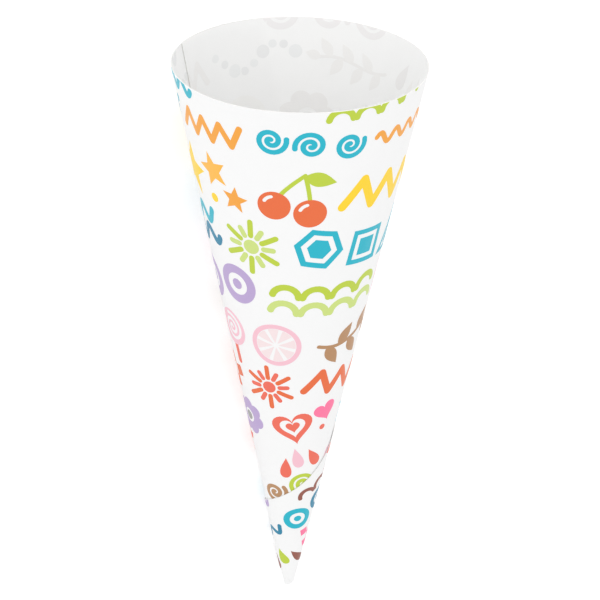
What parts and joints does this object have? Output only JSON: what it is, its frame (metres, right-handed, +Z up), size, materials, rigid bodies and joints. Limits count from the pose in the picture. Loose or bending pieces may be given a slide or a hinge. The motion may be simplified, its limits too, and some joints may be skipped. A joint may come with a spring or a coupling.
{
  "type": "cone paper cup",
  "caption": "Cone-shaped paper cup, rolled from a sheet of printed coated paper into a pointed cone with an open rim.",
  "frame": {"origin": "on the ground, below the middle of the box round the cup as it lies on its side", "axes": "+Y along the ground from the tip to the open rim, +Z up; the cone's own axis lies in the YZ plane and rises about 12 degrees towards the rim"},
  "size_m": [0.0988, 0.2308, 0.0965],
  "materials": {
    "printed_paper": "satin"
  },
  "bodies": {
    "root": {"cone_cup": "printed_paper"}
  },
  "joints": []
}
